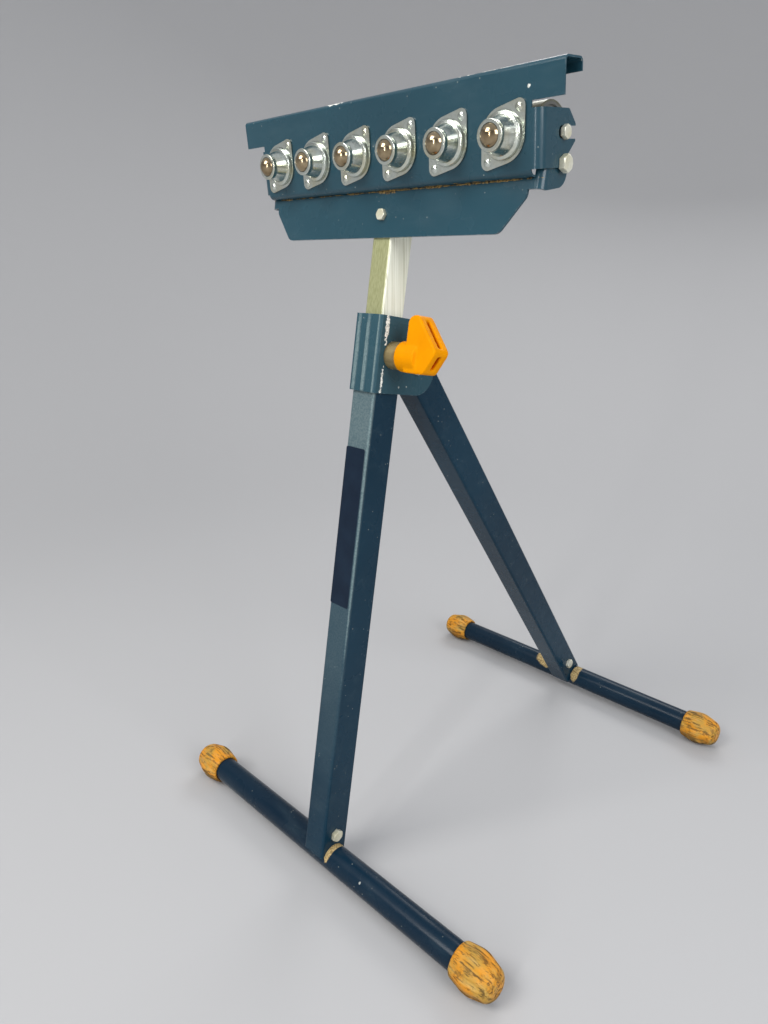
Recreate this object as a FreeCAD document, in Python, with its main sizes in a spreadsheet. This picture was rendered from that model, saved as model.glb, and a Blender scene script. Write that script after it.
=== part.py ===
import FreeCAD, Part
import math
import os
import re
import Sketcher

Vector = FreeCAD.Vector

# Folding workpiece support stand with a flip-over ball plate and a roller.
# The frame has +X along the head, +Y from the front leg to the rear leg and +Z up.
# Its origin is on the floor, in the middle of the four foot caps.
# Sizes are in millimetres and degrees.

SIZES = {
    # Stance
    "stance": (555, "front foot axis to rear foot axis"),
    "lean": (10, "front post from the vertical"),
    "foot_span": (462, "widest place of one foot cap to that of the other"),
    # Foot tubes and caps
    "foot_od": (32, "round foot tube"),
    "foot_wall": (1.5, "wall of the round foot tube"),
    "cap_od": (46, "foot cap at its widest"),
    "cap_flat": (4, "half length of the cap's widest stretch"),
    "cap_inner": (22, "cap from its middle to its open end"),
    "cap_outer": (28, "cap from its middle to its closed end"),
    "cap_mouth": (19.5, "radius of the cap at its open end"),
    "cap_nose": (16, "radius of the cap at its closed end"),
    "cap_grip": (8, "foot tube's end past the middle of the cap"),
    "cap_ribs": (8, "ribs round a cap"),
    "cap_groove": (1.2, "depth of the grooves between the ribs"),
    "cap_groove_arc": (17, "angle that one groove takes up"),
    # Rectangular tubes
    "post_width": (31.8, "tube of the front post and the rear leg, across"),
    "post_depth": (38.1, "the same tube, front to back"),
    "post_wall": (1.6, "wall of that tube"),
    "post_corner": (3, "outer corner radius of that tube"),
    "post_foot": (4, "lower end of the tubes above the foot axis"),
    "cope_gap": (0.2, "gap between a coped tube end and the foot tube"),
    "inner_width": (25.4, "tube of the inner post, across"),
    "inner_depth": (31.8, "the same tube, front to back"),
    "inner_wall": (1.5, "wall of the inner post"),
    "inner_corner": (2.5, "outer corner radius of the inner post"),
    "inner_low": (180, "lower end of the inner post, along the post"),
    "stub_top": (58, "top of the stub inside each tube"),
    "stub_wall": (2.5, "wall of the stub"),
    "front_bolt_up": (30, "front foot bolt above the foot axis"),
    "rear_bolt_up": (41, "rear foot bolt above the foot axis"),
    # Collar, bracket and rear leg pivot
    "collar_low": (554.5, "lower edge of the collar, along the post"),
    "collar_height": (78, "length of the collar"),
    "collar_wall": (3, "sheet of the collar and the leg bracket"),
    "collar_wrap": (11, "collar's arms back from its front face"),
    "seam_gap": (0.3, "seam between the collar and the leg bracket"),
    "bead_pitch": (13.4, "distance between the collar's two pressed beads"),
    "bead_width": (4.6, "width of a bead"),
    "bead_height": (0.9, "height of a bead"),
    "pivot_back": (38.5, "rear leg's pivot behind the post's axis"),
    "pivot_up": (584, "rear leg's pivot along the post"),
    "pivot_offset": (6, "pivot in front of the rear leg's axis"),
    "bracket_round": (29.5, "bracket's edge round the pivot"),
    "stop_gap": (0.5, "rear leg's end to the bracket's web when open"),
    "side_gap": (0.15, "rear leg to the bracket's side plates"),
    # Lock
    "lock_up": (594, "lock screw along the post"),
    "lock_radius": (5, "lock screw's shank"),
    "boss_od": (28, "threaded boss on the bracket"),
    "boss_length": (14, "length of the boss"),
    "knob_gap": (0.5, "boss to knob"),
    "knob_hub": (15.5, "radius of the knob's hub"),
    "hub_length": (26, "length of the knob's hub"),
    "knob_setback": (10.5, "hub's end to the handle's near side"),
    "knob_length": (51, "hub's end to the handle's far corner"),
    "knob_reach": (41, "top of the handle from the knob's axis"),
    "knob_ridge": (13, "length of the handle's top"),
    "knob_corner_up": (7.5, "handle's far corner above the knob's axis"),
    "knob_foot": (37, "lower corner of the handle from the hub's end"),
    "knob_thick": (22, "thickness of the handle"),
    "core_width": (5, "slots that core out the handle"),
    "core_depth": (8, "depth of those slots"),
    "core_margin": (5.5, "ends of those slots from the handle's corners"),
    "screw_grip": (22, "lock screw's end inside the knob"),
    "pad_length": (4.2, "clamp pad on the lock screw's end"),
    "bush_length": (58, "guide bush in the top of the post"),
    "slide_gap": (0.2, "inner post to guide bush"),
    # Head
    "head_tilt": (5, "head forward from level"),
    "axle_up": (788, "roller axle along the post"),
    "axle_forward": (1, "roller axle in front of the post's axis"),
    "axle_radius": (5, "roller axle"),
    "run_gap": (0.05, "running clearance on an axle"),
    "roller_od": (50.8, "roller tube"),
    "roller_wall": (1.6, "wall of the roller tube"),
    "roller_gap": (2.9, "roller bearing's hub to the yoke's ear"),
    "bearing_hub": (9, "radius of a roller bearing's hub"),
    "bearing_width": (14, "width of a roller bearing"),
    "bearing_sheet": (2, "rim of a roller bearing"),
    "hub_stand": (5, "bearing hub out of the roller's end"),
    "yoke_sheet": (2.5, "sheet of the yoke"),
    "yoke_half": (180.4, "outer face of the yoke's ears from the middle"),
    "yoke_bend": (8, "outer bend radius of the yoke"),
    "skirt_low": (706, "lower edge of the skirt, along the post"),
    "yoke_top": (760, "upper end of the ears' bends, along the post"),
    "shelf_top": (752, "top of the yoke's shelf, along the post"),
    "skirt_half": (167, "half width of the skirt"),
    "skirt_base": (143, "half width of the skirt's lower edge"),
    "skirt_side": (5.5, "upright side of the skirt below the ears"),
    "skirt_bolt_up": (727.5, "bolt through the skirt, along the post"),
    "ear_drop": (41, "lower edge of the yoke's ears below the axle"),
    "ear_back": (9.5, "rear edge of the yoke's ears behind the axle"),
    "ear_top": (13, "top of the yoke's ears above the axle"),
    "ear_round": (14, "lower rear corner of the yoke's ears"),
    "clamp_drop": (23.5, "clamp bolt below the axle"),
    # Ball plate
    "plate_sheet": (1.6, "sheet of the ball plate"),
    "plate_front": (34.5, "plate's front face in front of the axle"),
    "plate_top": (49.5, "plate's top above the axle"),
    "plate_low": (32.2, "plate's lower fold below the axle"),
    "plate_foot_bend": (6, "outer radius of that fold"),
    "foot_gap": (0.3, "plate's lower fold to the yoke"),
    "band_half": (203, "half length of the plate's top band"),
    "band_low": (22.7, "lower edge of the top band above the axle"),
    "band_bend": (4, "outer radius of the folds along the band"),
    "hook_depth": (25.5, "depth of the folded top"),
    "hook_lip": (10, "height of the lip turned down at its back"),
    "flap_gap": (0.3, "plate's ears to the yoke's ears and to the bolt heads"),
    "flap_bend": (8.8, "outer bend radius of the plate's ears"),
    "flap_top": (17.6, "upper edge of the plate's ears above the axle"),
    "flap_low": (26.6, "lower edge of the plate's ears below the axle"),
    "slot_half": (4.8, "half width of the slot for the axle"),
    "slot_front": (8, "closed end of that slot in front of the axle"),
    "pass_gap": (0.4, "plate's ears to the clamp bolt as they turn past it"),
    # Ball units
    "ball_count": (6, "ball units in a row"),
    "ball_pitch": (58.8, "distance between ball units"),
    "ball_up": (0.7, "ball units above the axle"),
    "ball_radius": (10, "load ball"),
    "ball_out": (16, "load ball's centre in front of the plate"),
    "ball_gap": (0.3, "load ball to its housing and seat"),
    "flange_radius": (21.5, "round part of a unit's flange"),
    "flange_end": (6, "radius of the flange's ends"),
    "flange_sheet": (1.6, "sheet of a unit's flange"),
    "flange_turn": (39.7, "line of the flange's holes from the vertical"),
    "rivet_pitch": (50, "distance between a unit's two rivets"),
    "rivet_radius": (2, "rivet's shank"),
    "rivet_head": (3.6, "rivet's head radius"),
    "rivet_dome": (1.6, "height of a rivet's head"),
    "dome_base": (18.5, "radius of the dome at the flange"),
    "dome_step": (4.5, "top of the dome's first step from the flange's back"),
    "dome_shoulder": (15.6, "radius of the dome above its step"),
    "dome_neck": (11.9, "radius of the dome's neck"),
    "dome_wall": (1, "wall of the dome"),
    "rim_out": (20.3, "dome's rim in front of the plate"),
    "rim_height": (2.6, "height of the rolled rim"),
    "rim_radius": (12.5, "outer radius of the rolled rim"),
    # Fasteners
    "bolt_radius": (4, "M8 bolt"),
    "bolt_flats": (13, "M8 head and nut across the flats"),
    "bolt_head": (5.3, "height of an M8 head"),
    "nut_height": (6.5, "height of an M8 nut"),
    "screw_radius": (3, "M6 screw"),
    "screw_flats": (10, "M6 head and nut across the flats"),
    "screw_head": (4, "height of an M6 head"),
    "screw_depth": (18, "axle screw's reach into the axle"),
    "thread_end": (2, "bolt's end out of its nut"),
    "hole_gap": (0.3, "clearance round a bolt in its hole"),
}

doc = FreeCAD.newDocument("support_stand")
sheet = doc.addObject("Spreadsheet::Sheet", "Sizes")
for row, (word, (value, meaning)) in enumerate(SIZES.items(), 1):
    sheet.set("A%d" % row, meaning)
    sheet.set("B%d" % row, str(value))
    sheet.setAlias("B%d" % row, word)
doc.recompute()


def bound(text):
    """Writes the words of the size sheet in the form that an expression needs."""
    return re.sub(r"[a-z_]\w*", lambda m: "Sizes." + m[0] if m[0] in SIZES else m[0], text)


def size(text):
    """The value of a sum of sizes."""
    return float(sheet.evalExpression(bound(text)))


# Derived sizes, each a sum in the words of the sheet
FOOT_RADIUS = "(foot_od / 2)"
CAP_RADIUS = "(cap_od / 2)"
POST_HALF = "(post_width / 2)"
POST_BORE = "(post_width / 2 - post_wall)"
INNER_HALF = "(inner_width / 2)"
INNER_BACK = "(inner_depth / 2)"
COLLAR_TOP = "(collar_low + collar_height)"
COLLAR_BORE = "(post_width / 2 + side_gap)"
COLLAR_HALF = "(post_width / 2 + side_gap + collar_wall)"
COLLAR_INSIDE = "(post_depth / 2 + side_gap)"
COLLAR_BACK = "(post_depth / 2 + side_gap + collar_wall)"

PIVOT_Y = "(pivot_up * sin(lean) + pivot_back * cos(lean))"
PIVOT_Z = "(pivot_up * cos(lean) - pivot_back * sin(lean))"
PIVOT_REACH = "(sqrt((stance - %s)^2 + %s^2))" % (PIVOT_Y, PIVOT_Z)
LEG_ANGLE = "(atan((stance - %s) / %s) - asin(pivot_offset / %s))" % (PIVOT_Y, PIVOT_Z, PIVOT_REACH)
LEG_PIVOT = "(sqrt(%s^2 - pivot_offset^2))" % PIVOT_REACH
OPEN_ANGLE = "(%s + lean * 1 deg)" % LEG_ANGLE
WEB_REACH = "(pivot_back - %s - stop_gap)" % COLLAR_BACK
LEG_END = "((%s - (post_depth / 2 - pivot_offset) * cos(%s)) / sin(%s))" % (WEB_REACH, OPEN_ANGLE, OPEN_ANGLE)

BOSS_OUT = "(%s + boss_length)" % COLLAR_HALF
PAD_OUT = "(inner_width / 2 + pad_length)"

AXLE_Y = "(-stance / 2 + axle_up * sin(lean) - axle_forward * cos(lean))"
AXLE_Z = "(cap_od / 2 + axle_up * cos(lean) + axle_forward * sin(lean))"
HEAD_TURN = "(head_tilt + lean)"
SKIRT_BACK = "(-inner_depth / 2)"
SKIRT_FRONT = "(-inner_depth / 2 - yoke_sheet)"
YOKE_INSIDE = "(yoke_half - yoke_sheet)"
YOKE_EDGE = "(yoke_half - yoke_bend)"
ROLLER_HALF = "(yoke_half - yoke_sheet - roller_gap - hub_stand)"
EAR_FOOT = "(axle_up + (-ear_drop + (%s + axle_forward) * sin(%s)) / cos(%s))" % (SKIRT_FRONT, HEAD_TURN, HEAD_TURN)
FLAP_IN = "(yoke_half + flap_gap)"
FLAP_OUT = "(yoke_half + flap_gap + plate_sheet)"
FLAP_EDGE = "(%s - flap_bend)" % FLAP_OUT
HEAD_SEAT = "(%s + flap_gap)" % FLAP_OUT
PASS_RADIUS = "(clamp_drop - bolt_radius - pass_gap)"
PLATE_FOOT = "((%s + axle_forward - plate_low * sin(%s)) / cos(%s) - foot_gap)" % (SKIRT_FRONT, HEAD_TURN, HEAD_TURN)
FLANGE_SLOPE = "(asin((flange_radius - flange_end) / (rivet_pitch / 2)))"

# Frames that the pieces are drawn in, each a place back and up and a turn about X
FRAMES = {
    "front_foot": ("-stance / 2", CAP_RADIUS, "0"),
    "rear_foot": ("stance / 2", CAP_RADIUS, "0"),
    "post": ("-stance / 2", CAP_RADIUS, "-lean"),
    "leg": ("stance / 2", CAP_RADIUS, LEG_ANGLE),
    "head": (AXLE_Y, AXLE_Z, "head_tilt"),
}

NODES = []


def node(thing, name):
    """Names a finished sub-part."""
    thing.Label = name
    NODES.append(thing)


def place(thing, frame, x="0", y="0", z="0", axis=(0, 0, 1), angle="0"):
    """Puts a piece in a frame at x, y, z, first turned about its own axis."""
    back, up, turn = FRAMES[frame]
    thing.setExpression("Placement", bound(
        "placement(vector(0; %s; %s); rotation(vector(1; 0; 0); %s))"
        " * placement(vector(%s; %s; %s); rotation(vector(%d; %d; %d); %s))"
        % ((back, up, turn, x, y, z) + tuple(axis) + (angle,))))


def new_body(name):
    return doc.addObject("PartDesign::Body", "Body_" + name)


def new_sketch(body, plane, lift="0", turn="0"):
    """An empty sketch on one of the body's origin planes, lifted and turned about its own X."""
    drawing = body.newObject("Sketcher::SketchObject", "Sketch")
    support = [part for part in body.Origin.OriginFeatures if part.Role == plane][0]
    drawing.AttachmentSupport = [(support, "")]
    drawing.MapMode = "FlatFace"
    drawing.setExpression("AttachmentOffset", bound(
        "placement(vector(0; 0; %s); rotation(vector(1; 0; 0); %s))" % (lift, turn)))
    return drawing


class Rules:
    """The constraints of one drawing, added together, and the sums that their values follow."""

    def __init__(self, drawing):
        self.drawing = drawing
        self.rules = []
        self.sums = {}

    def fix(self, kind, *where):
        self.rules.append(Sketcher.Constraint(kind, *where))

    def tie(self, kind, *what):
        *where, text = what
        self.sums[len(self.rules)] = text
        self.rules.append(Sketcher.Constraint(kind, *where, size(text)))

    def fixed_point(self, x, y):
        point = self.drawing.addGeometry(Part.Point(Vector(size(x), size(y), 0)), True)
        self.tie("DistanceX", -1, 1, point, 1, x)
        self.tie("DistanceY", -1, 1, point, 1, y)
        return point

    def apply(self):
        first = self.drawing.ConstraintCount
        self.drawing.addConstraint(self.rules)
        for index, text in self.sums.items():
            self.drawing.setExpression("Constraints[%d]" % (first + index), bound(text))


def draw_circle(drawing, x, y, radius):
    rules = Rules(drawing)
    centre = rules.fixed_point(x, y)
    circle = drawing.addGeometry(Part.Circle(Vector(size(x), size(y), 0), Vector(0, 0, 1), size(radius)))
    rules.fix("Coincident", circle, 3, centre, 1)
    rules.tie("Radius", circle, radius)
    rules.apply()


def draw_outline(drawing, corners):
    """A closed outline through (x, y) corners, where a third entry rounds its corner."""
    rules = Rules(drawing)
    points = [rules.fixed_point(corner[0], corner[1]) for corner in corners]
    spots = [Vector(size(corner[0]), size(corner[1]), 0) for corner in corners]
    count = len(corners)
    ends = []
    arcs = {}
    for i, corner in enumerate(corners):
        if len(corner) < 3:
            ends.append((spots[i], spots[i]))
            continue
        before = (spots[i - 1] - spots[i]).normalize()
        after = (spots[(i + 1) % count] - spots[i]).normalize()
        half = before.getAngle(after) / 2
        radius = size(corner[2])
        middle = spots[i] + (before + after).normalize() * (radius / math.sin(half))
        first = spots[i] + before * (radius / math.tan(half))
        last = spots[i] + after * (radius / math.tan(half))
        ends.append((first, last))
        forward = before.cross(after).z < 0
        spokes = [point - middle for point in ((first, last) if forward else (last, first))]
        low, high = [math.atan2(spoke.y, spoke.x) for spoke in spokes]
        circle = Part.Circle(middle, Vector(0, 0, 1), radius)
        arcs[i] = (forward, Part.ArcOfCircle(circle, low, high if high > low else high + 2 * math.pi))
    lines = []
    for i in range(count):
        line = Part.LineSegment(ends[i][1], ends[(i + 1) % count][0])
        lines.append(drawing.addGeometry(line))
    for i, corner in enumerate(corners):
        inward, outward = lines[i - 1], lines[i]
        if len(corner) < 3:
            rules.fix("Coincident", inward, 2, points[i], 1)
            rules.fix("Coincident", outward, 1, points[i], 1)
            continue
        forward, curve = arcs[i]
        arc = drawing.addGeometry(curve)
        start, stop = (1, 2) if forward else (2, 1)
        rules.fix("Tangent", inward, 2, arc, start)
        rules.fix("Tangent", outward, 1, arc, stop)
        rules.fix("PointOnObject", points[i], 1, inward)
        rules.fix("PointOnObject", points[i], 1, outward)
        rules.tie("Radius", arc, corner[2])
    rules.apply()


def draw_box(drawing, half, deep, radius):
    """A rectangle about the origin with rounded corners, from its half width and half depth."""
    left = "(-%s)" % half
    front = "(-%s)" % deep
    draw_outline(drawing, [(left, front, radius), (half, front, radius), (half, deep, radius), (left, deep, radius)])


def pad(body, drawing, length, both=False):
    feature = body.newObject("PartDesign::Pad", "Pad")
    feature.Profile = drawing
    feature.setExpression("Length", bound(length))
    if both:
        feature.SideType = "Symmetric"


def cut(body, drawing, length=None):
    """Cuts a drawing right through the body, or to a depth along its plane's normal."""
    feature = body.newObject("PartDesign::Pocket", "Pocket")
    feature.Profile = drawing
    if length is None:
        feature.Type = "ThroughAll"
        feature.SideType = "Symmetric"
    else:
        feature.setExpression("Length", bound(length))
        feature.Reversed = True
    return feature


def spin(body, drawing, axis):
    """Turns a drawing into a solid about one of its own axes."""
    feature = body.newObject("PartDesign::Revolution", "Turned")
    feature.Profile = drawing
    feature.ReferenceAxis = (drawing, [axis])
    feature.Angle = 360


def cross_hole(body, y, z, radius):
    """A round hole along X right through a body."""
    drawing = new_sketch(body, "YZ_Plane")
    draw_circle(drawing, y, z, radius)
    cut(body, drawing)


def side_hole(body, z, radius):
    """A round hole in the wall on the +X side only."""
    drawing = new_sketch(body, "YZ_Plane")
    draw_circle(drawing, "0", z, radius)
    cut(body, drawing, "post_width")


def upright(thing, z):
    thing.setExpression("Placement", bound("placement(vector(0; 0; %s); rotation(vector(0; 0; 1); 0))" % z))


def cylinder(radius, length, z="0"):
    part = doc.addObject("Part::Cylinder", "Cylinder")
    part.setExpression("Radius", bound(radius))
    part.setExpression("Height", bound(length))
    upright(part, z)
    return part


def join(kind, base, tool):
    """Part::Cut, Part::Common or Part::Fuse of two things."""
    part = doc.addObject("Part::" + kind, kind)
    part.Base = base
    part.Tool = tool
    return part


def group(parts):
    """Separate solids kept in one sub-part."""
    part = doc.addObject("Part::Compound", "Group")
    part.Links = parts
    return part


def ring(radius, bore, length):
    """A sleeve standing on its end at z = 0."""
    return join("Cut", cylinder(radius, length), cylinder(bore, "2 * %s" % length, z="-%s / 2" % length))


def hex_head(flats, height):
    """A hexagon on its seat at z = 0, with its upper corners turned down to a cone."""
    block = doc.addObject("Part::Prism", "Prism")
    block.Polygon = 6
    block.setExpression("Circumradius", bound("%s / 2 / cos(30)" % flats))
    block.setExpression("Height", bound(height))
    crown = doc.addObject("Part::Cone", "Cone")
    crown.setExpression("Radius1", bound("%s * 0.48 + %s / tan(30)" % (flats, height)))
    crown.setExpression("Radius2", bound("%s * 0.48" % flats))
    crown.setExpression("Height", bound(height))
    return join("Common", block, crown)


def hex_bolt(radius, flats, height, length):
    """A bolt down local -Z from the seat of its head at z = 0."""
    return join("Fuse", hex_head(flats, height), cylinder(radius, length, z="-(%s)" % length))


def hex_nut(radius, flats, height):
    """A nut standing on its seat at z = 0."""
    bore = cylinder("%s + run_gap" % radius, "2 * %s" % height, z="-%s / 2" % height)
    return join("Cut", hex_head(flats, height), bore)


def put_across(thing, frame, x, y, z, side=1):
    """Turns a piece drawn along local Z to point to +X, or to -X where side is -1."""
    place(thing, frame, x=x, y=y, z=z, axis=(0, 1, 0), angle=str(90 * side))


def box_tube(name, half, deep, wall, corner, low, high):
    """A rectangular tube along local Z."""
    body = new_body(name)
    drawing = new_sketch(body, "XY_Plane", lift=low)
    draw_box(drawing, half, deep, corner)
    draw_box(drawing, "(%s - %s)" % (half, wall), "(%s - %s)" % (deep, wall), "(%s - %s)" % (corner, wall))
    pad(body, drawing, "%s - (%s)" % (high, low))
    return body


def foot_cap(name, frame, side):
    """A ribbed cap on the end of a foot tube, hollow as far as the tube reaches."""
    body = new_body(name)
    outer = new_sketch(body, "XZ_Plane")
    draw_outline(outer, [("-cap_inner", FOOT_RADIUS), ("-cap_inner", "cap_mouth", "3"),
                         ("-cap_flat", CAP_RADIUS, "20"), ("cap_flat", CAP_RADIUS, "20"),
                         ("cap_outer", "cap_nose", "12"), ("cap_outer", "0"),
                         ("cap_grip", "0"), ("cap_grip", FOOT_RADIUS)])
    spin(body, outer, "H_Axis")
    doc.recompute()
    near = "(cap_inner * 0.85)"
    far = "(cap_outer * 0.7)"
    near_up = "(cap_mouth + (%s - cap_mouth) * (cap_inner - %s) / (cap_inner - cap_flat) - cap_groove)" % (
        CAP_RADIUS, near)
    far_up = "(cap_nose + (%s - cap_nose) * (cap_outer - %s) / (cap_outer - cap_flat) - cap_groove)" % (
        CAP_RADIUS, far)
    hollow = new_sketch(body, "XZ_Plane", turn="180 / cap_ribs")
    draw_outline(hollow, [("-" + near, "cap_od"), ("-" + near, near_up),
                          ("-cap_flat", "%s - cap_groove" % CAP_RADIUS), ("cap_flat", "%s - cap_groove" % CAP_RADIUS),
                          (far, far_up), (far, "cap_od")])
    groove = body.newObject("PartDesign::Groove", "Groove")
    groove.Profile = hollow
    groove.ReferenceAxis = (hollow, ["H_Axis"])
    groove.setExpression("Angle", bound("cap_groove_arc"))
    groove.Midplane = True
    doc.recompute()
    around = body.newObject("PartDesign::PolarPattern", "Ribs")
    around.Originals = [groove]
    around.Axis = (outer, ["H_Axis"])
    around.Angle = 360
    around.setExpression("Occurrences", bound("cap_ribs"))
    body.Tip = around
    place(body, frame, x="%d * foot_span / 2" % side, angle="0" if side > 0 else "180")
    node(body, name)


def foot(prefix, leg_frame, bolt_up):
    """A round cross tube with its two caps, the stub welded on it, and the bolt through the leg."""
    frame = prefix + "_foot"
    body = new_body("foot_tube")
    drawing = new_sketch(body, "YZ_Plane")
    draw_circle(drawing, "0", "0", FOOT_RADIUS)
    draw_circle(drawing, "0", "0", "(foot_od / 2 - foot_wall)")
    pad(body, drawing, "foot_span + 2 * cap_grip", both=True)
    place(body, frame)
    node(body, prefix + "_foot_tube")
    foot_cap(prefix + "_left_foot_cap", frame, -1)
    foot_cap(prefix + "_right_foot_cap", frame, 1)

    stub = box_tube("foot_stub", "(%s - slide_gap)" % POST_BORE, "(post_depth / 2 - post_wall - slide_gap)",
                    "stub_wall", "(stub_wall + 0.5)", "post_foot", "stub_top")
    cross_hole(stub, "0", "0", FOOT_RADIUS)
    cross_hole(stub, "0", bolt_up, "(bolt_radius + hole_gap)")
    place(stub, leg_frame)
    node(stub, prefix + "_foot_stub")

    bolt = hex_bolt("bolt_radius", "bolt_flats", "bolt_head", "post_width + nut_height + thread_end")
    put_across(bolt, leg_frame, POST_HALF, "0", bolt_up)
    node(bolt, prefix + "_foot_bolt")
    nut = hex_nut("bolt_radius", "bolt_flats", "nut_height")
    put_across(nut, leg_frame, "-" + POST_HALF, "0", bolt_up, side=-1)
    node(nut, prefix + "_foot_nut")


def leg_tube(name, frame, high, bolt_up):
    """A rectangular leg whose lower end is coped to the foot tube."""
    body = box_tube(name, POST_HALF, "(post_depth / 2)", "post_wall", "post_corner", "post_foot", high)
    cross_hole(body, "0", "0", "(foot_od / 2 + cope_gap)")
    cross_hole(body, "0", bolt_up, "(bolt_radius + hole_gap)")
    place(body, frame)
    node(body, name)
    return body


def guide_bush():
    """A plastic liner in the post's top, which the inner post slides in."""
    body = new_body("guide_bush")
    drawing = new_sketch(body, "XY_Plane", lift="(%s - bush_length)" % COLLAR_TOP)
    draw_box(drawing, POST_BORE, "(post_depth / 2 - post_wall)", "(post_corner - post_wall)")
    draw_box(drawing, "(%s + slide_gap)" % INNER_HALF, "(%s + slide_gap)" % INNER_BACK, "inner_corner")
    pad(body, drawing, "bush_length")
    side_hole(body, "lock_up", "(lock_radius + hole_gap)")
    place(body, "post")
    node(body, "post_guide_bush")


def collar():
    """A pressed sheet wrapped round the front of the post's top, with two raised beads."""
    body = new_body("collar")
    drawing = new_sketch(body, "XY_Plane", lift="collar_low")
    front = "(-%s)" % COLLAR_BACK
    ends = "(-%s + collar_wrap)" % COLLAR_BACK
    inside = "(-%s)" % COLLAR_INSIDE
    bend = "(post_corner + 0.5)"
    draw_outline(drawing, [("-" + COLLAR_HALF, ends), ("-" + COLLAR_HALF, front, bend),
                           (COLLAR_HALF, front, bend), (COLLAR_HALF, ends), (COLLAR_BORE, ends),
                           (COLLAR_BORE, inside), ("-" + COLLAR_BORE, inside), ("-" + COLLAR_BORE, ends)])
    pad(body, drawing, "collar_height")
    beads = new_sketch(body, "XY_Plane", lift="(collar_low + 1)")
    face = "(-%s - bead_height)" % COLLAR_BACK
    root = "(-%s + collar_wall / 2)" % COLLAR_BACK
    for middle in ("(-bead_pitch * 0.9)", "(bead_pitch * 0.1)"):
        left = "(%s - bead_width / 2)" % middle
        right = "(%s + bead_width / 2)" % middle
        draw_outline(beads, [(left, root), (left, face, "bead_height"), (right, face, "bead_height"), (right, root)])
    pad(body, beads, "collar_height - 10")
    place(body, "post")
    node(body, "post_collar")


def leg_bracket():
    """A folded bracket behind the collar: two side plates round the leg's end and a web."""
    body = new_body("leg_bracket")
    front = "(-%s + collar_wrap + seam_gap)" % COLLAR_BACK
    rear = "(pivot_back + bracket_round)"
    side = new_sketch(body, "YZ_Plane")
    draw_outline(side, [(front, "collar_low"), (rear, "collar_low", "bracket_round * 0.9"),
                        (rear, "pivot_up + bracket_round * 0.8", "bracket_round * 0.9"),
                        (COLLAR_BACK, COLLAR_TOP, "6"), (front, COLLAR_TOP)])
    pad(body, side, "2 * %s" % COLLAR_HALF, both=True)
    inside = new_sketch(body, "XY_Plane")
    for near, far in (("(%s - post_depth)" % front, COLLAR_INSIDE), (COLLAR_BACK, "(%s + post_depth)" % rear)):
        draw_outline(inside, [("-" + COLLAR_BORE, near), (COLLAR_BORE, near), (COLLAR_BORE, far), ("-" + COLLAR_BORE, far)])
    cut(body, inside)
    cross_hole(body, "pivot_back", "pivot_up", "(bolt_radius + hole_gap)")
    side_hole(body, "lock_up", "(lock_radius + hole_gap)")
    place(body, "post")
    node(body, "leg_bracket")


def lock():
    """The threaded boss, the clamp pad, the lock screw and its knob."""
    boss = ring("boss_od / 2", "lock_radius + run_gap", "boss_length")
    put_across(boss, "post", COLLAR_HALF, "0", "lock_up")
    node(boss, "lock_boss")
    tip = cylinder("lock_radius - run_gap", "pad_length")
    put_across(tip, "post", INNER_HALF, "0", "lock_up")
    node(tip, "clamp_pad")
    screw = cylinder("lock_radius", "%s + knob_gap + screw_grip - %s" % (BOSS_OUT, PAD_OUT))
    put_across(screw, "post", PAD_OUT, "0", "lock_up")
    node(screw, "lock_screw")


def knob():
    """A round hub under a thick three-cornered handle, cored out by a slot in each sloping side."""
    body = new_body("lock_knob")
    handle = new_sketch(body, "XZ_Plane")
    top = ("knob_setback + knob_ridge", "knob_reach")
    corner = ("knob_length", "knob_corner_up")
    low = ("knob_foot", "-knob_hub")
    draw_outline(handle, [("knob_setback", "-knob_hub"), low + ("6",), corner + ("6",), top + ("6",),
                          ("knob_setback", "knob_reach", "9")])
    pad(body, handle, "knob_thick", both=True)
    hub = new_sketch(body, "YZ_Plane")
    draw_circle(hub, "0", "0", "knob_hub")
    pad(body, hub, "hub_length")
    bore = new_sketch(body, "YZ_Plane")
    draw_circle(bore, "0", "0", "lock_radius")
    cut(body, bore, "screw_grip")
    doc.recompute()
    cores = new_sketch(body, "XZ_Plane")
    for (x1, z1), (x2, z2) in ((corner, top), (low, corner)):
        side = "(sqrt(((%s) - (%s))^2 + ((%s) - (%s))^2))" % (x2, x1, z2, z1)
        along = ("((%s) - (%s)) / %s" % (x2, x1, side), "((%s) - (%s)) / %s" % (z2, z1, side))
        spots = []
        for base_x, base_z, way in ((x1, z1, "core_margin"), (x2, z2, "(-core_margin)")):
            for depth in ("-1", "core_depth"):
                spots.append(("(%s) + %s * (%s) - %s * (%s)" % (base_x, along[0], way, along[1], depth),
                              "(%s) + %s * (%s) + %s * (%s)" % (base_z, along[1], way, along[0], depth)))
        draw_outline(cores, [spots[0], spots[2], spots[3], spots[1]])
    slot = body.newObject("PartDesign::Pocket", "Cores")
    slot.Profile = cores
    slot.SideType = "Symmetric"
    slot.setExpression("Length", bound("core_width"))
    place(body, "post", x="%s + knob_gap" % BOSS_OUT, z="lock_up")
    node(body, "lock_knob")


def leg_pivot():
    """The sleeve in the leg's end, the pivot bolt through the bracket and its nut."""
    inside = "(2 * %s)" % POST_BORE
    sleeve = ring("bolt_radius + 2.5", "bolt_radius + run_gap", inside)
    put_across(sleeve, "leg", "-%s" % POST_BORE, "-pivot_offset", LEG_PIVOT)
    node(sleeve, "leg_pivot_sleeve")
    bolt = hex_bolt("bolt_radius", "bolt_flats", "bolt_head", "2 * %s + nut_height + thread_end" % COLLAR_HALF)
    put_across(bolt, "post", COLLAR_HALF, "pivot_back", "pivot_up")
    node(bolt, "leg_pivot_bolt")
    nut = hex_nut("bolt_radius", "bolt_flats", "nut_height")
    put_across(nut, "post", "-" + COLLAR_HALF, "pivot_back", "pivot_up", side=-1)
    node(nut, "leg_pivot_nut")


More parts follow.
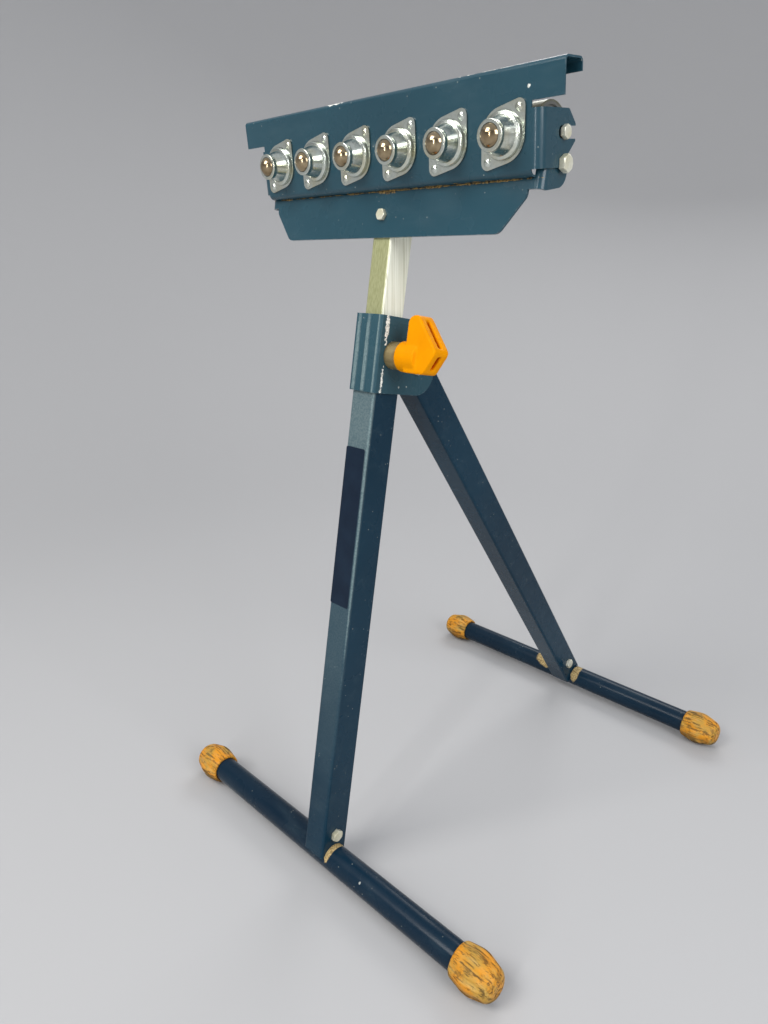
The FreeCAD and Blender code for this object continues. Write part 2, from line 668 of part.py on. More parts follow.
def inner_post():
    """The sliding tube, its bolt through the yoke's skirt and the nut behind."""
    body = box_tube("inner_post", INNER_HALF, INNER_BACK, "inner_wall", "inner_corner", "inner_low",
                    "(shelf_top - yoke_sheet)")
    drawing = new_sketch(body, "XZ_Plane")
    draw_circle(drawing, "0", "skirt_bolt_up", "(screw_radius + hole_gap)")
    cut(body, drawing)
    place(body, "post")
    node(body, "inner_post")
    bolt = hex_bolt("screw_radius", "screw_flats", "screw_head", "inner_depth + yoke_sheet + screw_flats / 2 + 1")
    place(bolt, "post", y=SKIRT_FRONT, z="skirt_bolt_up", axis=(1, 0, 0), angle="90")
    node(bolt, "yoke_bolt")
    nut = hex_nut("screw_radius", "screw_flats", "screw_flats / 2")
    place(nut, "post", y=INNER_BACK, z="skirt_bolt_up", axis=(1, 0, 0), angle="-90")
    node(nut, "yoke_nut")


def from_axle(y, z):
    """A place back and up from the axle in the head's frame, given in the post's frame."""
    return ("(-axle_forward + (%s) * cos(%s) - (%s) * sin(%s))" % (y, HEAD_TURN, z, HEAD_TURN),
            "(axle_up + (%s) * sin(%s) + (%s) * cos(%s))" % (y, HEAD_TURN, z, HEAD_TURN))


def yoke():
    """One folded sheet on top of the inner post: a skirt, a shelf and two ears for the axle."""
    body = new_body("yoke")
    fold = "(shelf_top - 2 * yoke_sheet)"
    skirt = new_sketch(body, "XZ_Plane", lift=INNER_BACK)
    shape = [("skirt_base", "skirt_low", "10"), ("skirt_half", EAR_FOOT + " - skirt_side", "8"),
             ("skirt_half", EAR_FOOT), (YOKE_EDGE, EAR_FOOT), (YOKE_EDGE, fold)]
    mirrored = [("-(%s)" % corner[0],) + corner[1:] for corner in reversed(shape)]
    draw_outline(skirt, shape + mirrored)
    pad(body, skirt, "yoke_sheet")
    shelf = new_sketch(body, "YZ_Plane")
    rear = "(%s - yoke_sheet / 4)" % INNER_BACK
    draw_outline(shelf, [(SKIRT_FRONT, fold), (SKIRT_FRONT, "shelf_top", "yoke_sheet * 1.5"), (rear, "shelf_top"),
                         (rear, "shelf_top - yoke_sheet"), (SKIRT_BACK, "shelf_top - yoke_sheet"), (SKIRT_BACK, fold)])
    pad(body, shelf, "2 * %s" % YOKE_EDGE, both=True)
    bends = new_sketch(body, "XY_Plane", lift=EAR_FOOT)
    behind = "(%s + yoke_bend)" % SKIRT_FRONT
    for sign in ("", "-"):
        draw_outline(bends, [(sign + YOKE_EDGE, SKIRT_FRONT), (sign + "yoke_half", SKIRT_FRONT, "(yoke_bend * 0.95)"),
                             (sign + "yoke_half", behind), (sign + YOKE_INSIDE, behind),
                             (sign + YOKE_INSIDE, SKIRT_BACK, "(yoke_bend * 0.95 - yoke_sheet)"),
                             (sign + YOKE_EDGE, SKIRT_BACK)])
    pad(body, bends, "yoke_top - %s" % EAR_FOOT)
    for start in (YOKE_INSIDE, "-yoke_half"):
        ear = new_sketch(body, "YZ_Plane", lift=start)
        draw_outline(ear, [(behind, EAR_FOOT), from_axle("ear_back", "-ear_drop") + ("ear_round",),
                           from_axle("ear_back", "ear_top") + ("9",), from_axle("-ear_top", "ear_top") + ("9",),
                           (behind, "yoke_top")])
        pad(body, ear, "yoke_sheet")
    cross_hole(body, *from_axle("0", "0"), "(screw_radius + hole_gap)")
    cross_hole(body, *from_axle("0", "-clamp_drop"), "(bolt_radius + hole_gap)")
    hole = new_sketch(body, "XZ_Plane")
    draw_circle(hole, "0", "skirt_bolt_up", "(screw_radius + hole_gap)")
    cut(body, hole)
    place(body, "post")
    node(body, "head_yoke")


def axle():
    """The roller's axle with a screw in each end, the sleeves the plate turns on and the clamp bolts."""
    rod = cylinder("axle_radius", "2 * %s" % YOKE_INSIDE)
    bores = group([cylinder("screw_radius", "screw_depth"),
                   cylinder("screw_radius", "screw_depth", z="2 * %s - screw_depth" % YOKE_INSIDE)])
    rod = join("Cut", rod, bores)
    put_across(rod, "head", "-" + YOKE_INSIDE, "0", "0")
    node(rod, "roller_axle")
    reach = "(%s - %s + screw_depth)" % (HEAD_SEAT, YOKE_INSIDE)
    width = "(%s - yoke_half)" % HEAD_SEAT
    for name, makers in (
            ("axle_screws", lambda: hex_bolt("screw_radius", "screw_flats", "screw_head", reach)),
            ("flip_sleeves", lambda: ring("slot_half - 0.1", "screw_radius + run_gap", width)),
            ("clamp_bolts", lambda: hex_bolt("bolt_radius", "bolt_flats", "bolt_head",
                                             "%s - %s + nut_height" % (HEAD_SEAT, YOKE_INSIDE))),
            ("clamp_nuts", lambda: hex_nut("bolt_radius", "bolt_flats", "nut_height"))):
        seat = {"flip_sleeves": "yoke_half", "clamp_nuts": YOKE_INSIDE}.get(name, HEAD_SEAT)
        drop = "-clamp_drop" if name.startswith("clamp") else "0"
        pair = []
        for side in (1, -1):
            piece = makers()
            turn = -side if name == "clamp_nuts" else side
            piece.setExpression("Placement", bound(
                "placement(vector(%d * %s; 0; %s); rotation(vector(0; 1; 0); %d))" % (side, seat, drop, 90 * turn)))
            pair.append(piece)
        both = group(pair)
        place(both, "head")
        node(both, name)


def roller():
    """The roller tube and the bearing pressed in each of its ends."""
    tube = ring("roller_od / 2", "roller_od / 2 - roller_wall", "2 * " + ROLLER_HALF)
    put_across(tube, "head", "-" + ROLLER_HALF, "0", "0")
    node(tube, "roller_tube")
    bore = "(axle_radius + run_gap)"
    rim = "(roller_od / 2 - roller_wall)"
    for word, side in (("left", -1), ("right", 1)):
        body = new_body("roller_bearing")
        drawing = new_sketch(body, "XZ_Plane")
        draw_outline(drawing, [("-bearing_width", bore), ("hub_stand", bore), ("hub_stand", "bearing_hub", "1"),
                               ("-bearing_sheet", "bearing_hub"), ("-bearing_sheet", "%s - bearing_sheet" % rim),
                               ("0", "%s - bearing_sheet" % rim), ("0", rim), ("-bearing_width", rim),
                               ("-bearing_width", "%s - bearing_sheet" % rim),
                               ("-3 * bearing_sheet", "%s - bearing_sheet" % rim),
                               ("-3 * bearing_sheet", "bearing_hub"), ("-bearing_width", "bearing_hub")])
        spin(body, drawing, "H_Axis")
        place(body, "head", x="%d * %s" % (side, ROLLER_HALF), angle="0" if side > 0 else "180")
        node(body, "roller_bearing_" + word)


def ball_plate():
    """A folded plate: front face, hooked top, lower fold, two ears with slots, rivet holes."""
    body = new_body("ball_plate")
    inner = "(band_bend - plate_sheet)"
    face = "(-plate_front)"
    inside = "(-plate_front + plate_sheet)"
    lip = "(-plate_front + hook_depth)"
    profile = new_sketch(body, "YZ_Plane")
    draw_outline(profile, [(PLATE_FOOT, "-plate_low"), (face, "-plate_low", "plate_foot_bend"),
                           (face, "plate_top", "band_bend"), (lip, "plate_top", "band_bend"),
                           (lip, "plate_top - hook_lip"), ("%s - plate_sheet" % lip, "plate_top - hook_lip"),
                           ("%s - plate_sheet" % lip, "plate_top - plate_sheet", inner),
                           (inside, "plate_top - plate_sheet", inner),
                           (inside, "-plate_low + plate_sheet", "(plate_foot_bend - plate_sheet)"),
                           (PLATE_FOOT, "-plate_low + plate_sheet")])
    pad(body, profile, "2 * band_half", both=True)
    notch = new_sketch(body, "XZ_Plane")
    for sign in ("", "-"):
        draw_outline(notch, [(sign + FLAP_EDGE, "-2 * plate_low"), (sign + "(band_half + 1)", "-2 * plate_low"),
                             (sign + "(band_half + 1)", "band_low"), (sign + FLAP_EDGE, "band_low")])
    cut(body, notch)
    bends = new_sketch(body, "XY_Plane", lift="-flap_low")
    behind = "(-plate_front + flap_bend)"
    for sign in ("", "-"):
        draw_outline(bends, [(sign + FLAP_EDGE, face), (sign + FLAP_OUT, face, "(flap_bend * 0.95)"),
                             (sign + FLAP_OUT, behind), (sign + FLAP_IN, behind),
                             (sign + FLAP_IN, inside, "(flap_bend * 0.95 - plate_sheet)"), (sign + FLAP_EDGE, inside)])
    pad(body, bends, "flap_low + flap_top")
    rear = "(%s * 0.94)" % PASS_RADIUS
    tooth = "(-bolt_radius - pass_gap)"
    dip = "(-%s * 0.965)" % PASS_RADIUS
    for start in (FLAP_IN, "-" + FLAP_OUT):
        ear = new_sketch(body, "YZ_Plane", lift=start)
        draw_outline(ear, [(behind, "-flap_low"), (tooth, "-flap_low", "1.5"), (tooth, dip, "bolt_radius"),
                           ("(%s * 0.26)" % PASS_RADIUS, dip, "2"), (rear, "(-%s * 0.34)" % PASS_RADIUS, "1.5"),
                           (rear, "-slot_half", "0.8"), ("-slot_front", "-slot_half", "(slot_half - 0.1)"),
                           ("-slot_front", "slot_half", "(slot_half - 0.1)"), (rear, "slot_half", "0.8"),
                           (rear, "(%s * 0.34)" % PASS_RADIUS, "2"), ("(%s * 0.4)" % PASS_RADIUS, "flap_top", "4"),
                           (behind, "flap_top")])
        pad(body, ear, "plate_sheet")
    doc.recompute()
    holes = new_sketch(body, "XZ_Plane")
    first = "(-(ball_count - 1) / 2 * ball_pitch)"
    for side in ("", "-"):
        draw_circle(holes, "%s + %srivet_pitch / 2 * sin(flange_turn)" % (first, side),
                    "ball_up + %srivet_pitch / 2 * cos(flange_turn)" % side, "(rivet_radius + hole_gap)")
    pair = cut(body, holes)
    doc.recompute()
    row = body.newObject("PartDesign::LinearPattern", "Holes")
    row.Originals = [pair]
    row.Direction = (holes, ["H_Axis"])
    row.setExpression("Length", bound("(ball_count - 1) * ball_pitch"))
    row.setExpression("Occurrences", bound("ball_count"))
    body.Tip = row
    place(body, "head")
    node(body, "ball_plate")


def rivet_place(side):
    """A rivet's place in its ball unit, whose own Z points out of the plate."""
    return "%d * rivet_pitch / 2 * sin(flange_turn)" % side, "%d * rivet_pitch / 2 * cos(flange_turn)" % side


def ball_unit(index):
    """One ball transfer unit: a pressed housing with a two-eared flange, its seat and its ball."""
    x = "(%d - (ball_count - 1) / 2) * ball_pitch" % index

    def seat_in_row(thing, name):
        place(thing, "head", x=x, y="-plate_front", z="ball_up", axis=(1, 0, 0), angle="90")
        node(thing, "%s_%d" % (name, index + 1))

    housing = new_body("housing")
    flange = new_sketch(housing, "XY_Plane")
    long_way = "(flange_radius / sin(%s))" % FLANGE_SLOPE
    short_way = "(flange_radius / cos(%s))" % FLANGE_SLOPE
    draw_outline(flange, [("%s * sin(flange_turn)" % long_way, "%s * cos(flange_turn)" % long_way, "flange_end"),
                          ("-%s * cos(flange_turn)" % short_way, "%s * sin(flange_turn)" % short_way, "flange_radius"),
                          ("-%s * sin(flange_turn)" % long_way, "-%s * cos(flange_turn)" % long_way, "flange_end"),
                          ("%s * cos(flange_turn)" % short_way, "-%s * sin(flange_turn)" % short_way, "flange_radius")])
    draw_circle(flange, "0", "0", "(dome_base - dome_wall)")
    for side in (1, -1):
        draw_circle(flange, *rivet_place(side), "(rivet_radius + hole_gap)")
    pad(housing, flange, "flange_sheet")
    dome = new_sketch(housing, "XZ_Plane")
    mouth = "(sqrt((ball_radius + ball_gap)^2 - (rim_out - ball_out)^2))"
    throat = "(dome_neck - dome_wall)"
    draw_outline(dome, [("dome_base - dome_wall", "0"), ("dome_base", "0"), ("dome_base", "dome_step", "1.5"),
                        ("dome_shoulder", "dome_step + 1"), ("dome_neck", "rim_out - rim_height - 2", "5"),
                        ("dome_neck", "rim_out - rim_height"), ("rim_radius", "rim_out - rim_height"),
                        ("rim_radius", "rim_out", "1"), (mouth, "rim_out"), (throat, "rim_out - rim_height"),
                        (throat, "rim_out - rim_height - 2"), ("dome_shoulder - dome_wall", "dome_step + 1 - dome_wall"),
                        ("dome_base - dome_wall", "dome_step - dome_wall")])
    spin(housing, dome, "V_Axis")
    seat_in_row(housing, "ball_housing")

    seat = new_body("seat")
    cup = new_sketch(seat, "XZ_Plane")
    wide = "(dome_base - dome_wall - ball_gap)"
    inner = "(dome_neck - dome_wall - ball_gap)"
    floor = "(dome_step - dome_wall - ball_gap)"
    draw_outline(cup, [("0", "0"), (wide, "0"), (wide, floor), ("dome_shoulder - 2 * dome_wall", floor),
                       (inner, "2 * dome_step"), (inner, "ball_out"), ("0", "ball_out")])
    spin(seat, cup, "V_Axis")
    doc.recompute()
    scoop = new_sketch(seat, "XZ_Plane")
    reach = "(ball_radius + ball_gap)"
    draw_outline(scoop, [("0", "ball_out - %s" % reach), (reach, "ball_out - %s" % reach, "(%s - 0.01)" % reach),
                         (reach, "ball_out"), (reach, "ball_out + 1"), ("0", "ball_out + 1")])
    groove = seat.newObject("PartDesign::Groove", "Cup")
    groove.Profile = scoop
    groove.ReferenceAxis = (scoop, ["V_Axis"])
    groove.Angle = 360
    seat_in_row(seat, "ball_seat")

    ball = doc.addObject("Part::Sphere", "Sphere")
    ball.setExpression("Radius", bound("ball_radius"))
    place(ball, "head", x=x, y="-plate_front - ball_out", z="ball_up")
    node(ball, "load_ball_%d" % (index + 1))


def ball_rivets():
    """Two rivets to each ball unit, with a domed head in front and a flat one behind."""
    rivets = []
    for index in range(int(size("ball_count"))):
        for side in (1, -1):
            shank = cylinder("rivet_radius", "flange_sheet + plate_sheet", z="-plate_sheet")
            dome = doc.addObject("Part::Sphere", "Sphere")
            dome.setExpression("Radius", bound("(rivet_head^2 + rivet_dome^2) / 2 / rivet_dome"))
            upright(dome, "flange_sheet + rivet_dome - (rivet_head^2 + rivet_dome^2) / 2 / rivet_dome")
            front = join("Common", dome, cylinder("rivet_head", "rivet_dome", z="flange_sheet"))
            back = cylinder("rivet_head * 0.8", "rivet_dome / 2", z="-plate_sheet - rivet_dome / 2")
            rivet = join("Fuse", join("Fuse", shank, back), front)
            across, up = rivet_place(side)
            rivet.setExpression("Placement", bound(
                "placement(vector((%d - (ball_count - 1) / 2) * ball_pitch + %s; %s; 0); rotation(vector(0; 0; 1); 0))"
                % (index, across, up)))
            rivets.append(rivet)
    together = group(rivets)
    place(together, "head", y="-plate_front", z="ball_up", axis=(1, 0, 0), angle="90")
    node(together, "ball_rivets")


# Front leg with the collar, the bracket and the lock
foot("front", "post", "front_bolt_up")
side_hole(leg_tube("front_post", "post", COLLAR_TOP, "front_bolt_up"), "lock_up", "(lock_radius + hole_gap)")
guide_bush()
collar()
leg_bracket()
lock()
knob()

# Rear leg, which folds to the post
foot("rear", "leg", "rear_bolt_up")
rear_tube = leg_tube("rear_leg_tube", "leg", "(%s + %s)" % (LEG_PIVOT, LEG_END), "rear_bolt_up")
cross_hole(rear_tube, "-pivot_offset", LEG_PIVOT, "(bolt_radius + hole_gap)")
leg_pivot()

# Sliding head with the roller and the flip-over ball plate
inner_post()
yoke()
axle()
roller()
ball_plate()
for unit in range(int(size("ball_count"))):
    ball_unit(unit)
ball_rivets()

doc.recompute()
for thing in doc.Objects:
    if "Invalid" in thing.State or "Error" in thing.State:
        raise RuntimeError("%s (%s) failed: %s" % (thing.Name, thing.Label, thing.State))
for thing in NODES:
    if thing.Shape.isNull() or not thing.Shape.isValid():
        raise RuntimeError(thing.Label + " has no valid shape")
    if not thing.Shape.Solids:
        raise RuntimeError(thing.Label + " has no solid")

os.makedirs("parts", exist_ok=True)
for thing in NODES:
    thing.Shape.exportStep("parts/%s.step" % thing.Label)
    print("%-24s %2d solids %9.0f mm3" % (thing.Label, len(thing.Shape.Solids), thing.Shape.Volume))
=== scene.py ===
import math

import bmesh
import bpy
from mathutils import Matrix, Vector


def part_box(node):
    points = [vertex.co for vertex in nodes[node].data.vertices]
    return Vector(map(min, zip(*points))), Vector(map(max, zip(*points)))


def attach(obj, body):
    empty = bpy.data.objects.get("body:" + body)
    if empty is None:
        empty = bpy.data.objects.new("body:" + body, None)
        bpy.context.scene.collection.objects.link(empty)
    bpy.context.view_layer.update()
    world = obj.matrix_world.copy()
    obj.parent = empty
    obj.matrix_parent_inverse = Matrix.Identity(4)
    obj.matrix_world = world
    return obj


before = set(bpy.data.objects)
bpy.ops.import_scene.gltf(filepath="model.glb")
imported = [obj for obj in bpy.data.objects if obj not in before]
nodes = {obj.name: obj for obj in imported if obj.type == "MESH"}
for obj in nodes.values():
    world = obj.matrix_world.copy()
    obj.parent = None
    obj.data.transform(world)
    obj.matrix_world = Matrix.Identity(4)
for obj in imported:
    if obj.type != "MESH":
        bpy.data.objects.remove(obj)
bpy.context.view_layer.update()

MM = 0.001

# Camera: place, axes and lens, solved from the four foot caps and the head
CAMERA_PLACE = (0.5393, -0.7183, 0.7039)
CAMERA_RIGHT = (0.7146, 0.6995, -0.0064)
CAMERA_UP = (-0.2293, 0.2429, 0.9426)
CAMERA_LENS = 25.36
SENSOR = 36

# Frames of the stand: the front post leans back, and the head tilts forward
LEAN = math.radians(10)
HEAD_TILT = math.radians(5)


def middle(node):
    low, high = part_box(node)
    return (low + high) / 2


def frame_axes(origin, turn):
    """A matrix that puts a piece drawn in a leaning frame into the row frame."""
    return Matrix.Translation(origin) @ Matrix.Rotation(turn, 4, "X")


FRONT_TUBE = middle("front_foot_tube")
REAR_TUBE = middle("rear_foot_tube")
POST = frame_axes(FRONT_TUBE, -LEAN)
AXLE = middle("roller_axle")
HEAD = frame_axes(AXLE, HEAD_TILT)


def linear(red, green, blue):
    """A screen colour, 0 to 255, as the linear colour that a shader takes."""
    values = [part / 255 for part in (red, green, blue)]
    return tuple(v / 12.92 if v <= 0.04045 else ((v + 0.055) / 1.055) ** 2.4
                 for v in values) + (1,)


class Shader:
    """A material's node tree, built one short call at a time."""

    def __init__(self, name, roughness=0.5, metallic=0.0, **sockets):
        self.material = bpy.data.materials.new(name)
        self.material.use_nodes = True
        self.tree = self.material.node_tree
        self.surface = self.tree.nodes["Principled BSDF"]
        self.surface.inputs["Roughness"].default_value = roughness
        self.surface.inputs["Metallic"].default_value = metallic
        for word, value in sockets.items():
            self.surface.inputs[word.replace("_", " ")].default_value = value
        self.place = self.add("TexCoord").outputs["Object"]

    def add(self, kind, **values):
        node = self.tree.nodes.new("ShaderNode" + kind)
        for word, value in values.items():
            setattr(node, word, value)
        return node

    def feed(self, socket, value):
        if isinstance(value, bpy.types.NodeSocket):
            self.tree.links.new(value, socket)
        else:
            socket.default_value = value

    def math(self, operation, first, second=0.0, clamp=False):
        node = self.add("Math", operation=operation, use_clamp=clamp)
        self.feed(node.inputs[0], first)
        self.feed(node.inputs[1], second)
        return node.outputs[0]

    def stretched(self, scale, turn=(0, 0, 0), move=(0, 0, 0), source=None):
        node = self.add("Mapping")
        self.feed(node.inputs["Vector"], source or self.place)
        node.inputs["Scale"].default_value = scale
        node.inputs["Rotation"].default_value = turn
        node.inputs["Location"].default_value = move
        return node.outputs[0]

    def noise(self, scale, detail=3.0, roughness=0.55, where=None):
        node = self.add("TexNoise")
        self.feed(node.inputs["Vector"], where or self.place)
        node.inputs["Scale"].default_value = scale
        node.inputs["Detail"].default_value = detail
        node.inputs["Roughness"].default_value = roughness
        return node.outputs["Fac"]

    def cells(self, scale, where=None):
        node = self.add("TexVoronoi")
        self.feed(node.inputs["Vector"], where or self.place)
        node.inputs["Scale"].default_value = scale
        return node

    def ramp(self, value, low, high, start=0.0, end=1.0):
        """start where value is low, end where it is high, smooth in between."""
        node = self.add("MapRange", interpolation_type="SMOOTHSTEP")
        self.feed(node.inputs["Value"], value)
        node.inputs["From Min"].default_value = low
        node.inputs["From Max"].default_value = high
        node.inputs["To Min"].default_value = start
        node.inputs["To Max"].default_value = end
        return node.outputs[0]

    def mix(self, share, first, second):
        node = self.add("Mix", data_type="RGBA")
        self.feed(node.inputs["Factor"], share)
        self.feed(node.inputs["A"], first)
        self.feed(node.inputs["B"], second)
        return node.outputs["Result"]

    def patch(self, centre, reach, ragged, grain, turn=0.0, soft=0.08, share=1.0):
        """share inside an ellipsoid about a place, 0 outside it, with a ragged edge that soft widens."""
        away = self.add("VectorMath", operation="SUBTRACT")
        self.feed(away.inputs[0], self.place)
        away.inputs[1].default_value = centre
        turned = self.stretched((1, 1, 1), turn=(turn, 0, 0), source=away.outputs[0])
        size = self.stretched([1 / part for part in reach], source=turned)
        length = self.add("VectorMath", operation="LENGTH")
        self.feed(length.inputs[0], size)
        rough = self.math("MULTIPLY", self.math("SUBTRACT", self.noise(grain), 0.5), ragged * 4)
        return self.ramp(self.math("ADD", length.outputs["Value"], rough), 1 + soft, 1 - soft, 0.0, share)

    def either(self, first, second):
        return self.math("MAXIMUM", first, second)

    def bump(self, height, strength, distance=0.0004):
        node = self.add("Bump")
        node.inputs["Strength"].default_value = strength
        node.inputs["Distance"].default_value = distance
        self.feed(node.inputs["Height"], height)
        self.feed(self.surface.inputs["Normal"], node.outputs[0])

    def edges(self, reach, low=0.02, high=0.14):
        """1 along sharp edges: where a normal rounded over the edge leaves the true one."""
        soft = self.add("Bevel", samples=6)
        soft.inputs["Radius"].default_value = reach
        true = self.add("NewGeometry")
        dot = self.add("VectorMath", operation="DOT_PRODUCT")
        self.feed(dot.inputs[0], soft.outputs[0])
        self.feed(dot.inputs[1], true.outputs["Normal"])
        return self.ramp(self.math("SUBTRACT", 1.0, dot.outputs["Value"]), low, high)

    def finish(self, colour, roughness=None, metallic=None):
        self.feed(self.surface.inputs["Base Color"], colour)
        if roughness is not None:
            self.feed(self.surface.inputs["Roughness"], roughness)
        if metallic is not None:
            self.feed(self.surface.inputs["Metallic"], metallic)
        return self.material


def on_post(x, back, along):
    """A place given in mm across, behind and along the front post, in the row frame."""
    return tuple(POST @ Vector((x * MM, back * MM, along * MM)))


def on_head(x, back, up):
    """A place given in mm from the roller's axle in the tilted head, in the row frame."""
    return tuple(HEAD @ Vector((x * MM, back * MM, up * MM)))


def on_tube(tube, x, back, up):
    """A place given in mm from the middle of a foot tube, in the row frame."""
    return tuple(tube + Vector((x * MM, back * MM, up * MM)))


def mark(centre, reach, ragged, grain=180, **more):
    """A marked place, of wear or of painted sheen or shadow: where it is, its half sizes in mm, and how
    ragged and fine its edge is.
    """
    return dict(centre=centre, reach=[part * MM for part in reach], ragged=ragged, grain=grain, **more)


def paint(name, deep, bright, painted_sheen=(), bare=(), rust_and_seam_shadow=(), chipped=(), dust=0.5, sheen=0.3, coat=0.1):
    """Gloss enamel: slow colour drift, faint wipe marks, dust specks, worn edges, named worn places, and
    named places of painted sheen and shadow.
    """
    s = Shader(name, roughness=0.3, Coat_Weight=coat, Coat_Roughness=0.1, Specular_IOR_Level=sheen)
    drift = s.ramp(s.noise(5, detail=2, roughness=0.4), 0.3, 0.7)
    colour = s.mix(drift, linear(*deep), linear(*bright))
    wiped = s.noise(1, detail=5, roughness=0.6, where=s.stretched((16, 60, 60), turn=(0.5, 0.2, 0.4)))
    colour = s.mix(s.math("MULTIPLY", s.ramp(wiped, 0.5, 0.85), 0.12), colour, linear(96, 116, 122))
    specks = s.cells(300)
    dots = s.math("MULTIPLY", s.ramp(specks.outputs["Distance"], 0.24, 0.1),
                  s.ramp(specks.outputs["Color"], 0.86, 0.9))
    colour = s.mix(s.math("MULTIPLY", dots, dust), colour, linear(176, 180, 172))
    worn = s.math("MULTIPLY", s.edges(0.0009), s.ramp(s.noise(240, detail=4), 0.5, 0.66))
    colour = s.mix(s.math("MULTIPLY", worn, 0.5), colour, linear(150, 164, 166))
    rough = s.ramp(s.noise(26, detail=3), 0.3, 0.75, 0.22, 0.34)
    # The first group paints sheen and highlights, the last paints rust specks over a painted shadow line,
    # and chipped and bare are wear.
    for marks, share, light, dark in ((painted_sheen, 0.6, (136, 154, 154), (112, 134, 136)),
                                      (chipped, 1.0, (246, 246, 238), (184, 188, 180)),
                                      (bare, 1.0, (196, 172, 122), (132, 112, 76)),
                                      (rust_and_seam_shadow, 1.0, (176, 146, 88), (36, 32, 28))):
        for mark in marks:
            here = s.math("MULTIPLY", s.patch(**mark), share)
            tone = s.mix(s.ramp(s.noise(520, detail=4), 0.4, 0.62), linear(*light), linear(*dark))
            colour = s.mix(here, colour, tone)
            rough = s.math("ADD", rough, s.math("MULTIPLY", here, 0.4), clamp=True)
    s.bump(s.math("MULTIPLY", s.noise(260, detail=1), 0.5), 0.05)
    return s.finish(colour, roughness=rough)


def plate_metal(name, colour, tint, roughness=0.3, brushed=None, tint_share=0.5, dull=(120, 118, 100),
                stain=0.3, dirt_and_shade=0.0, metallic=1.0):
    """Zinc plate: brushed lines one way, yellow passivation clouds, dull stains and painted shade in its
    crevices.
    """
    s = Shader(name, roughness=roughness, metallic=metallic)
    clouds = s.ramp(s.noise(60, detail=3, roughness=0.5), 0.42, 0.7)
    shade = s.mix(s.math("MULTIPLY", clouds, tint_share), linear(*colour), linear(*tint))
    stains = s.ramp(s.noise(150, detail=4, roughness=0.6), 0.58, 0.8)
    shade = s.mix(s.math("MULTIPLY", stains, stain), shade, linear(*dull))
    fine = s.noise(1, detail=3, where=s.stretched(brushed or (500, 500, 500)))
    shade = s.mix(s.math("MULTIPLY", s.ramp(fine, 0.35, 0.7), 0.2), shade, linear(*dull))
    if dirt_and_shade:
        # Painted shade: ambient occlusion darkens the crevices.
        crevice = s.add("AmbientOcclusion", samples=8)
        crevice.inputs["Distance"].default_value = 0.004
        shade = s.mix(s.ramp(crevice.outputs["AO"], 0.8, 0.35, 0.0, dirt_and_shade), shade, linear(44, 40, 32))
    rough = s.math("ADD", s.ramp(fine, 0.3, 0.75, roughness - 0.05, roughness + 0.08),
                   s.math("MULTIPLY", stains, 0.15), clamp=True)
    s.bump(fine, 0.04, 0.0002)
    return s.finish(shade, roughness=rough)


def post_zinc():
    """The inner post: olive passivated plate with brushed lines, and painted light that turns its right side
    near white.
    """
    SIDE_START = 10.8 * MM
    SIDE_FULL = 12.2 * MM
    s = Shader("inner_post_plate")
    across = s.add("SeparateXYZ")
    s.feed(across.inputs[0], s.place)
    lines = s.noise(1, detail=4, where=s.stretched((900, 900, 9)))
    olive = s.mix(s.ramp(lines, 0.35, 0.7), linear(186, 188, 142), linear(160, 162, 116))
    # Painted light: a near-white, less metallic copy of the plate for the right side, where the light falls.
    pale = s.mix(s.ramp(lines, 0.4, 0.68), linear(252, 253, 236), linear(206, 206, 180))
    centre = middle("inner_post").x
    right = s.ramp(across.outputs["X"], centre + SIDE_START, centre + SIDE_FULL)
    s.bump(lines, 0.06, 0.0002)
    return s.finish(s.mix(right, olive, pale), roughness=s.ramp(lines, 0.3, 0.7, 0.34, 0.46),
                    metallic=s.ramp(right, 0.0, 1.0, 0.55, 0.08))


def plastic(name, colour, shade_colour, roughness=0.42, grain=600, shine=0.5, hollow_shade=None):
    """Moulded plastic: fine grain, slow colour drift, and painted shade in its hollows."""
    s = Shader(name, roughness=roughness, Specular_IOR_Level=shine)
    tone = s.mix(s.ramp(s.noise(40, detail=3), 0.3, 0.75), linear(*colour), linear(*shade_colour))
    if hollow_shade:
        # Painted shade: ambient occlusion gives the hollows a deeper colour.
        depth = s.add("AmbientOcclusion", samples=12)
        depth.inputs["Distance"].default_value = 0.009
        tone = s.mix(s.ramp(depth.outputs["AO"], 0.5, 0.3), tone, linear(*hollow_shade))
    s.bump(s.noise(grain, detail=2), 0.05, 0.0003)
    return s.finish(tone)


